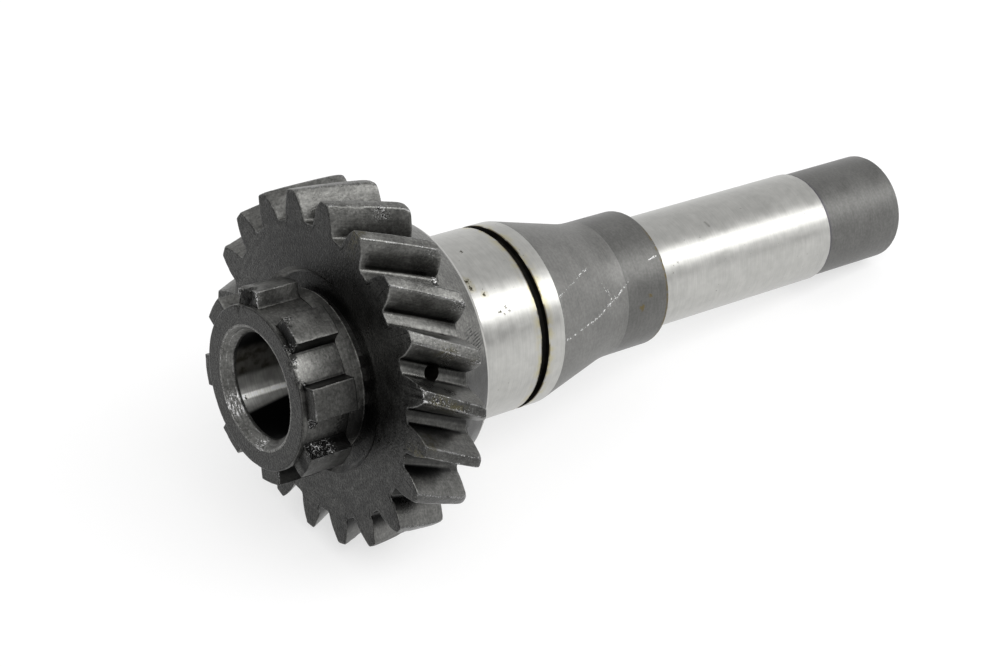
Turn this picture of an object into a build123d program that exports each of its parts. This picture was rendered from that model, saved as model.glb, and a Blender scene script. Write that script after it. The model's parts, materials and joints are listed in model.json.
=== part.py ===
from build123d import *
import os
from math import acos, atan, atan2, cos, degrees, pi, radians, sin, tan

# Gearbox input shaft, one piece: a hub with clutch dogs and a pilot bore, a helical gear,
# a bearing seat with a snap ring groove, a tapered neck, a collar, a ground journal and a tail.
# It lies as it comes to rest: on two gear teeth and on the rim of its tail.
# Lengths are in millimetres, angles in degrees. Stations run along the axis from the hub's face.

# Pilot bore
pilot_diameter = 22.0
pilot_depth = 30.0
pilot_drill_point = 118.0
lead_diameter = 25.4
lead_depth = 0.9
lead_step_diameter = 23.8
lead_taper_depth = 1.1

# Hub and clutch dogs
hub_diameter = 34.2
hub_edge = 0.3
dog_count = 8
dog_width = 6.7
dog_tip_diameter = 40.6
dog_setback = 1.0
dog_length = 9.8
dog_floor_drop = 0.2
dog_phase = -18.2
neck_length = 3.9
neck_undercut = 0.9

# Helical gear
tooth_count = 20
normal_module = 3.0
pressure_angle = 17.5
helix_angle = 25.0
profile_shift = 0.367
tip_diameter = 74.4
root_diameter = 62.0
root_fillet = 0.8
face_width = 14.7
recess_diameter = 43.0
recess_depth = 1.4
recess_corner = 0.8

# Oil hole from a tooth gap into the pilot bore
oil_hole_diameter = 3.4
oil_hole_inset = 6.7
oil_hole_gap = 3

# Cone and shoulder behind the gear
cone_inset = 0.15
cone_length = 9.6
shoulder_diameter = 51.4
shoulder_edge = 0.4

# Bearing seat and snap ring groove
seat_diameter = 40.0
seat_length = 18.0
relief_width = 1.5
relief_depth = 0.3
relief_height = 1.2
groove_width = 1.85
groove_diameter = 37.5
groove_edge = 0.1
groove_land = 4.3

# Tapered neck and collar
taper_length = 19.0
taper_blend = 25.0
collar_diameter = 30.2
collar_length = 14.0
collar_edge = 0.4

# Journal and tail
journal_diameter = 25.1
journal_length = 51.85
journal_edge = 0.2
tail_diameter = 24.4
tail_length = 24.0
tail_chamfer = 1.0

# Stations along the axis
dogs_front = dog_setback
dogs_rear = dogs_front + dog_length
gear_front = dogs_rear + neck_length
gear_rear = gear_front + face_width
shoulder = gear_rear + cone_length
groove_front = shoulder + seat_length
groove_rear = groove_front + groove_width
taper_front = groove_rear + groove_land
taper_rear = taper_front + taper_length
collar_rear = taper_rear + collar_length
journal_rear = collar_rear + journal_length
shaft_end = journal_rear + tail_length

# Tooth form in the plane across the axis
transverse_angle = atan(tan(radians(pressure_angle)) / cos(radians(helix_angle)))
pitch_radius = normal_module * tooth_count / (2 * cos(radians(helix_angle)))
base_radius = pitch_radius * cos(transverse_angle)
tip_radius = tip_diameter / 2
root_radius = root_diameter / 2
half_pitch = 180.0 / tooth_count
gear_twist = degrees(face_width * tan(radians(helix_angle)) / pitch_radius)


def involute(angle):
    return tan(angle) - angle


def tooth_half_angle(radius):
    """Half of the angle that one tooth covers at a radius, in radians."""
    shifted = 2 * profile_shift * tan(transverse_angle)
    at_pitch = (pi / 2 + shifted) / tooth_count
    local = acos(min(1.0, base_radius / radius))
    return at_pitch + involute(transverse_angle) - involute(local)


# Resting pose: the gap between two teeth points straight down at the gear's rear face
land_half_angle = degrees(tooth_half_angle(tip_radius))
gear_phase = 180.0 + half_pitch - gear_twist
tooth_drop = tip_radius * cos(radians(half_pitch - land_half_angle))
tail_radius = tail_diameter / 2
rest_tilt = degrees(atan2(tooth_drop - tail_radius, shaft_end - tail_chamfer - gear_rear))

# The origin is on the axis, in the middle of the bearing seat
shaft_dir = Vector(1, 0, 0).rotate(Axis.Y, rest_tilt)
hub_centre = shaft_dir * -(shoulder + seat_length / 2)
axis_plane = Plane(origin=hub_centre, x_dir=shaft_dir, z_dir=(0, -1, 0))
shaft_axis = Axis(hub_centre, shaft_dir)


def station(distance):
    """Plane across the shaft; its X points up, and it looks towards the tail."""
    return Plane(origin=hub_centre + shaft_dir * distance, x_dir=axis_plane.y_dir, z_dir=shaft_dir)


def near(distance, radius):
    """Selects the profile's corner at one station and radius."""
    corner = axis_plane.from_local_coords(Vector(distance, radius))
    return lambda vertex: (Vector(*vertex) - corner).length < 0.01


# One tooth, centred on the local X axis
flank_radii = [root_radius + (tip_radius - root_radius) * step / 6 for step in range(7)]
flank = [
    (radius * cos(tooth_half_angle(radius)), radius * sin(tooth_half_angle(radius)))
    for radius in flank_radii
]
tooth_foot = root_radius - normal_module / 2

with BuildSketch() as tooth:
    with BuildLine():
        upper = Spline(*flank)
        lower = mirror(upper, about=Plane.XZ)
        ThreePointArc(upper @ 1, (tip_radius, 0), lower @ 1)
        Polyline(
            upper @ 0,
            (tooth_foot, flank[0][1]),
            (tooth_foot, -flank[0][1]),
            lower @ 0,
        )
    make_face()

with BuildSketch(station(gear_front)) as gear_section:
    Circle(root_radius)
    with PolarLocations(0, tooth_count, start_angle=gear_phase):
        add(tooth.sketch)
    foot_corners = gear_section.vertices().filter_by(
        lambda vertex: abs((Vector(*vertex) - station(gear_front).origin).length - root_radius) < 0.01
    )
    fillet(foot_corners, radius=root_fillet)

hub_radius = hub_diameter / 2
floor_radius = hub_radius - dog_floor_drop
core_radius = recess_diameter / 2
seat_radius = seat_diameter / 2
shoulder_radius = shoulder_diameter / 2
collar_radius = collar_diameter / 2
journal_radius = journal_diameter / 2

with BuildPart() as shaft:
    # Turned blank, with the hub's gap floors already at their depth
    with BuildSketch(axis_plane):
        with BuildLine():
            Polyline(
                (0, 0),
                (0, hub_radius - hub_edge),
                (hub_edge, hub_radius),
                (dogs_front, hub_radius),
                (dogs_front, floor_radius),
                (dogs_rear, floor_radius),
                (dogs_rear, hub_radius),
                (gear_front, hub_radius),
                (gear_front, core_radius),
                (gear_rear, root_radius - cone_inset),
                (shoulder - shoulder_edge, shoulder_radius),
                (shoulder, shoulder_radius - shoulder_edge),
                (shoulder, seat_radius + relief_height),
                (shoulder - relief_depth, seat_radius + relief_height - relief_depth),
                (shoulder - relief_depth, seat_radius - relief_depth),
                (shoulder + relief_width, seat_radius - relief_depth),
                (shoulder + relief_width + relief_depth, seat_radius),
                (groove_front - groove_edge, seat_radius),
                (groove_front, seat_radius - groove_edge),
                (groove_front, groove_diameter / 2),
                (groove_rear, groove_diameter / 2),
                (groove_rear, seat_radius - groove_edge),
                (groove_rear + groove_edge, seat_radius),
                (taper_front, seat_radius),
                (taper_rear, collar_radius),
                (collar_rear - collar_edge, collar_radius),
                (collar_rear, collar_radius - collar_edge),
                (collar_rear, journal_radius),
                (journal_rear - journal_edge, journal_radius),
                (journal_rear, tail_radius),
                (shaft_end - tail_chamfer, tail_radius),
                (shaft_end, tail_radius - tail_chamfer),
                (shaft_end, 0),
                close=True,
            )
        make_face()
        fillet(vertices().filter_by(near(taper_rear, collar_radius)), radius=taper_blend)
    revolve(axis=shaft_axis)

    # Clutch dogs: parallel sides, round tips, standing on the hub
    with BuildSketch(station(dogs_front)):
        with PolarLocations(dog_tip_diameter / 4, dog_count, start_angle=dog_phase):
            Rectangle(dog_tip_diameter / 2, dog_width)
        Circle(dog_tip_diameter / 2, mode=Mode.INTERSECT)
        Circle(floor_radius - dog_floor_drop, mode=Mode.SUBTRACT)
    extrude(amount=dog_length)

    # Helical gear: the section turns as it runs along the axis
    add(
        Solid.extrude_linear_with_rotation(
            gear_section.sketch.face(),
            center=station(gear_front).origin,
            normal=shaft_dir * face_width,
            angle=gear_twist,
        )
    )

    # Recess in the gear's face, with an undercut behind the hub's neck
    with BuildSketch(axis_plane):
        with BuildLine():
            Polyline(
                (gear_front, hub_radius - neck_undercut),
                (gear_front, core_radius),
                (gear_front + recess_depth, core_radius - recess_depth),
                (gear_front + recess_depth, hub_radius - neck_undercut),
                close=True,
            )
        make_face()
        floor_corner = near(gear_front + recess_depth, core_radius - recess_depth)
        fillet(vertices().filter_by(floor_corner), radius=recess_corner)
    revolve(axis=shaft_axis, mode=Mode.SUBTRACT)

    # Pilot bore with its stepped lead and the drill's point at its bottom
    pilot_radius = pilot_diameter / 2
    point_depth = pilot_radius / tan(radians(pilot_drill_point / 2))
    with BuildSketch(axis_plane):
        with BuildLine():
            Polyline(
                (0, 0),
                (0, lead_diameter / 2),
                (lead_depth, lead_step_diameter / 2),
                (lead_depth + lead_taper_depth, pilot_radius),
                (pilot_depth, pilot_radius),
                (pilot_depth + point_depth, 0),
                close=True,
            )
        make_face()
    revolve(axis=shaft_axis, mode=Mode.SUBTRACT)

    # Oil hole, drilled in the middle of a tooth gap
    oil_hole_station = gear_front + oil_hole_inset
    gap_angle = gear_phase + half_pitch * (2 * oil_hole_gap + 1) - 180.0
    hole_angle = gap_angle + gear_twist * oil_hole_inset / face_width
    hole_dir = axis_plane.y_dir.rotate(shaft_axis, hole_angle)
    hole_start = station(oil_hole_station).origin + hole_dir * (pilot_radius / 2)
    with BuildSketch(Plane(origin=hole_start, z_dir=hole_dir)):
        Circle(oil_hole_diameter / 2)
    extrude(amount=tip_radius, mode=Mode.SUBTRACT)

shaft.part.label = "transmission_shaft"

os.makedirs("parts", exist_ok=True)
export_step(shaft.part, "parts/transmission_shaft.step")
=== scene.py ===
import json
from math import acos, asin, atan, ceil, cos, pi, radians, sin, sqrt, tan

import bpy
import numpy as np
from mathutils import Matrix, Vector, noise


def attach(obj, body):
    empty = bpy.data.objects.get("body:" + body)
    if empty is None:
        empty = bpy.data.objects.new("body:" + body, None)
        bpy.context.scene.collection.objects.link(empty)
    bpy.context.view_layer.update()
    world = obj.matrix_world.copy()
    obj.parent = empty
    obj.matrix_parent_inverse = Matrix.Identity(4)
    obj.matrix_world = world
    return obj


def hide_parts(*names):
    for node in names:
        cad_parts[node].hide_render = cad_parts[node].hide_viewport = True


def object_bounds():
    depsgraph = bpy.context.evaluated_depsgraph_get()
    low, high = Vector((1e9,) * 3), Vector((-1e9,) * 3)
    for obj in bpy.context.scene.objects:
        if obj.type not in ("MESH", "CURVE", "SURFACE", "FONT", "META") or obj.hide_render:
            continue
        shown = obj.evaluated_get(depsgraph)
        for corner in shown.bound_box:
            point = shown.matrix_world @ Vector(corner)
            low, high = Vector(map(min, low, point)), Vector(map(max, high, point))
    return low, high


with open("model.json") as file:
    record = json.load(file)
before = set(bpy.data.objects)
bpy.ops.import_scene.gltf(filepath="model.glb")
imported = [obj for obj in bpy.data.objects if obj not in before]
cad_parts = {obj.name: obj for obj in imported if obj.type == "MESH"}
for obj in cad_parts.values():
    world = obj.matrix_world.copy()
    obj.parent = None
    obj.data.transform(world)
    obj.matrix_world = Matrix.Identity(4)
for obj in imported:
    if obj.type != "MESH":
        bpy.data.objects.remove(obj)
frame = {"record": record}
cad_low, cad_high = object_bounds()

# A gearbox input shaft lying on its gear and its tail: dark hub, clutch dogs and helical gear,
# bright ground seat and journal, matt taper, collar and tail. Lengths are in millimetres.
# Stations run along the axis from the hub's face, and angles in the tables are in degrees from
# the shaft's upper side towards -Y.
MM = 0.001
MOUNTS = {mount["name"]: mount for mount in frame["record"]["mounts"]}
AXIS = Vector(MOUNTS["bearing_seat"]["axis"]).normalized()
SIDE = Vector((0.0, -1.0, 0.0))
UP = SIDE.cross(AXIS)
SEAT_MIDDLE = 48.0
HUB = Vector(MOUNTS["bearing_seat"]["pos_m"]) - AXIS * SEAT_MIDDLE * MM

# Columns of faces around the axis, rings of points along it, and the longest run between rings
GEAR_COLUMNS = 800
HUB_COLUMNS = GEAR_COLUMNS // 2
SHAFT_COLUMNS = GEAR_COLUMNS // 4
GEAR_RINGS = 22
DOG_RINGS = 18
RUN_STEP = 2.2

# Pilot bore
BORE_RADIUS = 11.0
BORE_DEPTH = 30.0
BORE_POINT = 118.0
LEAD_RADIUS = 12.7
LEAD_DEPTH = 0.9
LEAD_STEP_RADIUS = 11.9
LEAD_END = 2.0
LEAD_EDGE = 0.25
POINT_CAP = 0.03

# Hub and clutch dogs
HUB_RADIUS = 17.1
DOG_COUNT = 8
DOG_WIDTH = 6.7
DOG_TIP = 20.3
DOG_FLOOR = 16.9
DOGS_FRONT = 1.0
DOGS_REAR = 10.8
DOG_PHASE = -18.2
HUB_EDGE = 0.3
NECK_EDGE = 0.2

# Gear
TOOTH_COUNT = 20
NORMAL_MODULE = 3.0
PRESSURE_ANGLE = 17.5
HELIX_ANGLE = 25.0
PROFILE_SHIFT = 0.367
TIP_RADIUS = 37.2
ROOT_RADIUS = 31.0
ROOT_FILLET = 0.8
GEAR_FRONT = 14.7
GEAR_REAR = 29.4
UNDERCUT_RADIUS = 16.2
RECESS_RADIUS = 21.5
RECESS_DEPTH = 1.4
RECESS_CORNER = 0.7
OIL_HOLE_RADIUS = 1.7
OIL_HOLE_INSET = 6.7
OIL_HOLE_GAP = 3
OIL_HOLE_COLUMNS = 40

# Cone, seat, taper, collar, journal and tail
SHOULDER = 39.0
SHOULDER_RADIUS = 25.7
SHOULDER_EDGE = 0.35
SEAT_RADIUS = 20.0
RELIEF_RADIUS = 19.7
RELIEF_DEPTH = 0.3
RELIEF_HEIGHT = 1.2
RELIEF_END = 40.5
SEAT_START = 40.8
GROOVE_FRONT = 57.0
GROOVE_REAR = 58.85
GROOVE_RADIUS = 18.75
GROOVE_EDGE = 0.1
TAPER_FRONT = 63.15
TAPER_REAR = 82.15
TAPER_BLEND = 2.6
COLLAR_RADIUS = 15.1
COLLAR_REAR = 96.15
COLLAR_EDGE = 0.3
JOURNAL_RADIUS = 12.55
JOURNAL_REAR = 148.0
TAIL_RADIUS = 12.2
SHAFT_END = 172.0
TAIL_CHAMFER = 1.0
TAIL_EDGE = 0.15
FINE_EDGE = 0.12

# Rings where one finish or number of columns gives way to the next: stations in the bore, radii
# on the hub's face, the gear's face and the shoulder, and (station, radius) on the cone
MOUTH_END = 2.6
BORE_START = 2.7
HUB_FACE_RINGS = (13.1, 13.6)
RECESS_RINGS = (23.5, 26.0)
GEAR_FACE_RINGS = (28.0, 29.8)
SHOULDER_RINGS = (24.2, 22.7)
CONE_RINGS = ((30.065, 30.5), (31.2, 29.9))

# Worn edges, and the way that the teeth's corners are rounded off at the gear's two faces
TOOTH_EDGE = 0.2
FRONT_TIP_DROP = 0.05
FRONT_CORNER = 0.24
FRONT_REACH = 0.6
REAR_TIP_DROP = 0.3
REAR_CORNER = 0.9
REAR_REACH = 1.7
DOG_EDGE = 0.22
SHARP_ANGLE = 38.0

# Flaws: station, angle and radius of the middle, then reach, and for a chip its depth
# Spots painted darker: at the dogs' fronts, by the gap floors' front ends, low on the neck and by the
# gear's rear foot
DARK_SPOTS = (
    (1.0, -18.2, 18.8, 3.3), (1.0, 24.0, 18.8, 2.4), (1.0, 31.0, 18.6, 2.4),
    (0.9, 116.0, 18.8, 2.4), (2.6, 88.0, 17.0, 1.6), (13.0, 100.0, 17.1, 7.0),
    (28.4, 36.0, 31.4, 1.2), (1.0, 40.5, 17.3, 1.3), (1.3, 61.0, 17.3, 1.5),
)
PITTED_SPOTS = (
    (3.0, 106.6, 18.6, 2.9), (5.6, 106.6, 18.6, 2.6), (2.4, 88.0, 16.9, 1.9),
    (0.9, 44.0, 17.0, 1.2), (0.9, 58.0, 17.1, 1.2), (24.0, 8.0, 36.2, 2.4),
    (0.6, 34.0, 17.6, 1.5), (0.6, 167.0, 12.6, 1.5), (2.0, 20.0, 20.3, 1.4),
    (1.2, -28.5, 19.6, 1.5), (1.2, -8.5, 19.3, 1.4), (28.9, 34.0, 31.2, 1.5),
    (26.5, 31.0, 37.2, 3.2), (20.0, 31.0, 37.2, 3.6), (27.5, 48.0, 37.2, 3.2),
    (22.0, 62.0, 37.2, 3.6), (27.0, 66.0, 37.2, 3.0), (17.5, 74.0, 37.2, 3.4),
    (22.5, 80.0, 37.0, 3.4), (20.0, -4.0, 37.0, 3.2),
)
OIL_SPOTS = (
    (18.0, 74.0, 37.2, 3.4), (21.5, 78.0, 37.2, 3.6), (21.5, 60.5, 36.9, 3.2),
    (27.0, 66.0, 37.2, 2.4), (17.0, 85.0, 36.0, 2.6), (15.4, 15.0, 36.8, 1.6),
    (15.0, 90.0, 35.0, 2.4), (16.8, 94.0, 37.0, 2.6),
)
CHIPS = (
    (14.8, 67.6, 37.2, 1.5, 0.5), (14.9, 70.6, 36.2, 1.0, 0.3),
    (29.2, 34.0, 31.0, 1.2, 0.5), (20.5, 79.4, 36.9, 1.8, 0.4),
    (23.0, 81.5, 36.9, 1.5, 0.35), (1.0, -18.2, 19.3, 2.9, 0.8),
    (0.8, -25.0, 20.2, 1.5, 0.5), (0.8, -10.5, 19.4, 1.2, 0.4),
    (0.2, -26.0, 17.1, 1.6, 0.4), (0.8, 36.0, 19.4, 1.5, 0.5), (1.1, 17.5, 20.0, 1.0, 0.35),
    (0.2, 45.0, 17.0, 1.4, 0.4), (0.2, 57.0, 17.0, 1.2, 0.35), (2.8, 107.0, 19.0, 2.0, 0.4),
    (5.8, 107.0, 19.4, 1.8, 0.35),
)

# Dark specks on the ground steel, and pale ones on the collar: station, angle and size
SEAT_SPECKS = (
    (43.5, 28.0, 0.75), (43.7, 32.6, 0.7), (45.9, 38.5, 0.5), (47.4, 5.9, 0.5),
    (48.0, 51.1, 0.45), (49.6, 49.6, 0.45), (50.3, 52.0, 0.4), (48.8, 53.4, 0.35),
)
JOURNAL_SPECKS = (
    (110.6, 35.4, 0.35), (102.1, 53.3, 0.3), (100.0, 62.4, 0.35),
)
COLLAR_SPECKS = (
    (93.6, 35.8, 0.35), (77.1, 41.1, 0.35), (92.0, 47.0, 0.3),
)

# Where the bore's mouth is scuffed and painted bright, as scuffing and as a painted highlight where
# the bore's bright line runs out, and where a dog and a tooth have bright burrs at their front:
# station, angle and size
MOUTH_SCUFFS = (
    (0.8, 224.0, 3.3), (0.5, 167.0, 2.3),
)
DOG_BURRS = (
    (1.0, -28.0, 1.9), (1.0, -8.5, 1.9),
)
GEAR_BURRS = (
    (14.9, 67.8, 1.4), (15.0, 71.3, 0.9),
)
# By finish: burrs, their radius, the least wear that shows them, and their tone
BURRS = {
    "hub": (DOG_BURRS, 18.9, 0.15, 0.5),
    "gear": (GEAR_BURRS, TIP_RADIUS, 0.1, 0.6),
}
# The painted highlight, with scuffing, at the end of a gap floor on the hub, a patch of tool marks, a
# dent in the bore, and rust
BRIGHT_FLOOR = (2.0, 49.0, 3.4)
TOOL_MARKS = (34.4, 60.5, 4.6)
BORE_SPECK = (3.6, 225.6, 0.45)
COLLAR_STAINS = ((88.6, 82.0, 1.0), (91.0, 74.0, 0.8))

# Scratches on the journal, the taper and the collar: (station, angle) along each, drawn at one
# radius, then its width, how far it wanders, and how much of it is missing
JOURNAL_SCRATCH = ((114.2, 21.0), (114.5, 26.7))
LONG_SCRATCH = ((64.0, 79.9), (71.6, 76.7), (75.2, 74.6), (81.7, 65.3), (85.7, 56.5))
SCRATCHES = (
    (LONG_SCRATCH, 0.14, 0.7, 0.47),
    (LONG_SCRATCH[1:4], 0.6, 1.2, 0.6),
    (((91.3, 46.2), (93.4, 44.0), (95.6, 42.4)), 0.1, 0.5, 0.5),
    (((63.5, 52.8), (69.5, 45.5), (75.0, 38.5)), 0.1, 0.6, 0.54),
    (((77.3, 50.7), (78.7, 58.7), (79.8, 66.0)), 0.25, 1.2, 0.57),
)
MARK_RADIUS = 17.0

# Floor, room and lights. The room's light changes with the direction's slope low down. The
# softboxes are 1 m from the axis: name, angle, size in metres, radiance and shift along the axis.
FLOOR_HALF = 3.0
FLOOR_TONE = 0.4
FLOOR_GLOW = 0.62
ROOM_LIGHT = 0.74
ROOM_SLOPE = 0.22
FRONT_SLOPE = 0.12
SOFTBOXES = (
    ("softbox", 41.0, (2.2, 0.58), 2.8, 0.35),
    ("tail_softbox", 70.0, (0.5, 0.26), 2.3, 1.36),
)

# The shaft as the photograph's camera sees it: the axis's tilt and turn, its upper side's roll,
# and the middle of the hub's face
VIEW_TILT = 55.387
VIEW_TURN = 17.019
VIEW_ROLL = 27.97
HUB_IN_VIEW = (-48.504, -10.883, -471.361)
FOCAL_LENGTH = 85.86

# Tooth form in the plane across the axis
HELIX = radians(HELIX_ANGLE)
TRANSVERSE = atan(tan(radians(PRESSURE_ANGLE)) / cos(HELIX))
PITCH_RADIUS = NORMAL_MODULE * TOOTH_COUNT / (2 * cos(HELIX))
BASE_RADIUS = PITCH_RADIUS * cos(TRANSVERSE)
HALF_PITCH = pi / TOOTH_COUNT
TWIST_RATE = tan(HELIX) / PITCH_RADIUS
TWIST = (GEAR_REAR - GEAR_FRONT) * TWIST_RATE
GEAR_PHASE = pi + HALF_PITCH - TWIST


def tooth_half_angle(radius):
    """Half of the angle that one tooth covers at a radius."""
    at_pitch = (pi / 2 + 2 * PROFILE_SHIFT * tan(TRANSVERSE)) / TOOTH_COUNT
    local = acos(min(1.0, BASE_RADIUS / radius))
    return at_pitch + tan(TRANSVERSE) - TRANSVERSE - tan(local) + local


def twist_at(station):
    """The gear's turn at a station, which is none before its front face."""
    return TWIST_RATE * max(0.0, station - GEAR_FRONT)


def polar(radius, angle):
    return np.array((radius * cos(angle), radius * sin(angle)))


def soft_corner(before, corner, after, wears):
    """(point, wear) along a curve that rounds a corner off, a point for each wear."""
    points = []
    for t, wear in zip(np.linspace(0.0, 1.0, len(wears)), wears):
        points.append(((1 - t) ** 2 * before + 2 * t * (1 - t) * corner + t * t * after, wear))
    return points


def flank_point(radius):
    return polar(radius, tooth_half_angle(radius))


def half_tooth(tip_radius, corner):
    """(point, wear) from the middle of a gap to the last point before the tooth's middle."""
    foot = tooth_half_angle(ROOT_RADIUS)
    fillet_end = foot + ROOT_FILLET / ROOT_RADIUS
    tip = tooth_half_angle(tip_radius)
    floor_angles = (HALF_PITCH, (HALF_PITCH + fillet_end) / 2)
    points = [(polar(ROOT_RADIUS, angle), 0.0) for angle in floor_angles]
    points += soft_corner(
        polar(ROOT_RADIUS, fillet_end),
        polar(ROOT_RADIUS, foot),
        flank_point(ROOT_RADIUS + ROOT_FILLET),
        (0.0, 0.0, -0.3, -0.7, -0.9),
    )
    flank_radii = np.linspace(ROOT_RADIUS + ROOT_FILLET, tip_radius - 2.5 * corner, 8)[1:]
    for radius in flank_radii:
        points.append((flank_point(radius), -0.4 if radius < ROOT_RADIUS + 2 else 0.0))
    points.append((flank_point(tip_radius - 1.5 * corner), 0.1))
    land_start = tip - corner / tip_radius
    points += soft_corner(
        flank_point(tip_radius - corner),
        flank_point(tip_radius),
        polar(tip_radius, land_start),
        (0.6, 0.9, 0.7),
    )
    points.append((polar(tip_radius, land_start * 0.8), 0.2))
    points.append((polar(tip_radius, land_start * 0.4), 0.0))
    return points, (polar(tip_radius, 0.0), 0.0)


def half_dog():
    """(point, wear) from the middle of a gap to the last point before the dog's middle."""
    half = DOG_WIDTH / 2
    foot = asin(half / DOG_FLOOR)
    corner_x = sqrt(DOG_TIP**2 - half**2)
    foot_x = DOG_FLOOR * cos(foot)
    tip = asin(half / DOG_TIP)
    floor_end = foot + DOG_EDGE / DOG_FLOOR
    floor_angles = np.linspace(pi / DOG_COUNT, floor_end, 9)[:-1]
    points = [(polar(DOG_FLOOR, angle), 0.0) for angle in floor_angles[:-1]]
    points.append((polar(DOG_FLOOR, floor_angles[-1]), -0.4))
    points += soft_corner(
        polar(DOG_FLOOR, floor_end),
        np.array((foot_x, half)),
        np.array((foot_x + DOG_EDGE, half)),
        (-1.0, -1.0, -1.0),
    )
    side_places = np.linspace(foot_x + DOG_EDGE, corner_x - 2.5 * DOG_EDGE, 6)[1:]
    for x, wear in zip(side_places, (-0.9, -0.6, -0.3, 0.0, 0.0)):
        points.append((np.array((x, half)), wear))
    points.append((np.array((corner_x - 1.5 * DOG_EDGE, half)), 0.1))
    points += soft_corner(
        np.array((corner_x - DOG_EDGE, half)),
        np.array((corner_x, half)),
        polar(DOG_TIP, tip - DOG_EDGE / DOG_TIP),
        (0.4, 0.6, 0.5),
    )
    points.append((polar(DOG_TIP, tip - 2 * DOG_EDGE / DOG_TIP), 0.1))
    for share in (0.75, 0.5, 0.25, 0.12):
        points.append((polar(DOG_TIP, tip * share), 0.0))
    return points, (polar(DOG_TIP, 0.0), 0.0)


def turned(points, angle):
    """Points turned about the axis."""
    turn = np.array(((cos(angle), sin(angle)), (-sin(angle), cos(angle))))
    return points @ turn


class Outline:
    """Points around the axis, made of one half tooth or dog, with their wear and normals."""

    def __init__(self, half, middle, count, phase, roll=0):
        mirrored = [(point * (1, -1), wear) for point, wear in half]
        one = mirrored + [middle] + half[:0:-1]
        pattern = np.array([point for point, wear in one])
        turns = [turned(pattern, phase + 2 * pi * index / count) for index in range(count)]
        self.points = np.roll(np.concatenate(turns), -roll, 0)
        self.wear = np.roll(np.tile([wear for point, wear in one], count), -roll)
        along = np.roll(self.points, -1, 0) - np.roll(self.points, 1, 0)
        self.normals = np.stack((along[:, 1], -along[:, 0]), 1)
        self.normals /= np.linalg.norm(self.normals, axis=1)[:, None]


class Skin:
    """The shaft's closed skin: rings of points, from inside the bore to the tail."""

    def __init__(self):
        self.places, self.wear, self.faces, self.zones = [], [], [], []
        self.total, self.last = 0, None

    def ring(self, station, points, zone, wear=0.0):
        """Adds a ring, and the faces that join it to the ring before."""
        count = len(points)
        twisted = turned(points, twist_at(station))
        self.places.append(np.column_stack((np.full(count, station), twisted)))
        self.wear.append(np.broadcast_to(np.asarray(wear, float), count))
        here = np.arange(self.total, self.total + count)
        self.total += count
        if self.last is not None:
            self.join(self.last, here, zone)
        self.last = here

    def join(self, first, second, zone):
        after, beyond = np.roll(first, -1), np.roll(second, -1)
        if len(first) == len(second):
            self.add_faces(zone, first, after, beyond, second)
        elif len(first) == 2 * len(second):
            self.add_faces(zone, first[::2], first[1::2], second)
            self.add_faces(zone, first[1::2], after[1::2], beyond, second)
        else:
            self.add_faces(zone, first, after, beyond[1::2], second[1::2])
            self.add_faces(zone, first, second[1::2], second[::2])

    def add_faces(self, zone, *corners):
        self.faces += np.stack(corners, 1).tolist()
        self.zones += [zone] * len(corners[0])

    def cap(self, station, zone, closing):
        """Closes the skin at a point on the axis, after the last ring or before the first."""
        ring = self.last if closing else np.arange(len(self.places[0]))
        self.places.append(np.array(((station, 0.0, 0.0),)))
        self.wear.append(np.zeros(1))
        tip = np.full(len(ring), self.total)
        self.total += 1
        after = np.roll(ring, -1)
        self.add_faces(zone, *((ring, after) if closing else (after, ring)), tip)


def circle(radius, columns, phase):
    angles = phase + 2 * pi * np.arange(columns) / columns
    return radius * np.stack((np.cos(angles), np.sin(angles)), 1)


def turned_path(corners, step):
    """(station, radius, wear) along a turned outline. A corner is (station, radius) where it
    is sharp, and (station, radius, rounding) where it is rounded off."""
    spots = [np.array(corner[:2]) for corner in corners]
    path = [(*spots[0], 0.0)]
    for index in range(1, len(corners)):
        spot = spots[index]
        if index == len(corners) - 1 or len(corners[index]) == 2:
            stops = [(spot, 0.0)]
        else:
            rounding = corners[index][2]
            coming, going = spot - spots[index - 1], spots[index + 1] - spot
            coming, going = coming / np.linalg.norm(coming), going / np.linalg.norm(going)
            convex = coming[0] * going[1] - coming[1] * going[0] < 0
            edge = (0.5, 1.0, 1.0, 0.5) if convex and rounding < 1.0 else (0.0,) * 4
            stops = [(spot - coming * rounding * 1.8, 0.0)]
            stops += soft_corner(spot - coming * rounding, spot, spot + going * rounding, edge)
            stops.append((spot + going * rounding * 1.8, 0.0))
        start = np.array(path[-1][:2])
        run = np.linalg.norm(stops[0][0] - start)
        pieces = max(1, ceil(run / step))
        for piece in range(1, pieces):
            path.append((*(start + (stops[0][0] - start) * piece / pieces), 0.0))
        path += [(*place, wear) for place, wear in stops]
    return path


def add_turned(skin, corners, columns, phase, zone, step=RUN_STEP, wear=1.0):
    """Adds a turned stretch. A zone can be a name or a function of the station."""
    for station, radius, edge in turned_path(corners, step):
        name = zone(station) if callable(zone) else zone
        skin.ring(station, circle(radius, columns, phase), name, edge * wear)


def rise(share):
    """How far a quarter circle has still to go, from 1 at its start to 0 at its end."""
    return 1 - sqrt(1 - (1 - min(share, 1.0)) ** 2)


def add_end(skin, face, inward, outline, end, reach, rounding, zone, wear, weight=1.0):
    """Adds the rings that round off the end of a toothed stretch. inward is 1 where the teeth
    follow the face, and -1 where the face follows them. At the face the outline becomes end."""
    steps = [0.0, 0.15 * rounding, 0.5 * rounding, rounding]
    steps += [reach * share for share in (0.45, 0.7, 1.0) if reach > rounding]
    for distance in steps[::inward]:
        share = rise(distance / reach)
        inset = rounding * rise(distance / rounding) * weight
        points = outline.points * (1 - share) + end.points * share
        points = points - (end.normals.T * inset).T
        edge = np.maximum(outline.wear, wear * weight * (distance <= rounding))
        skin.ring(face + distance * inward, points, zone, edge)


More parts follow.
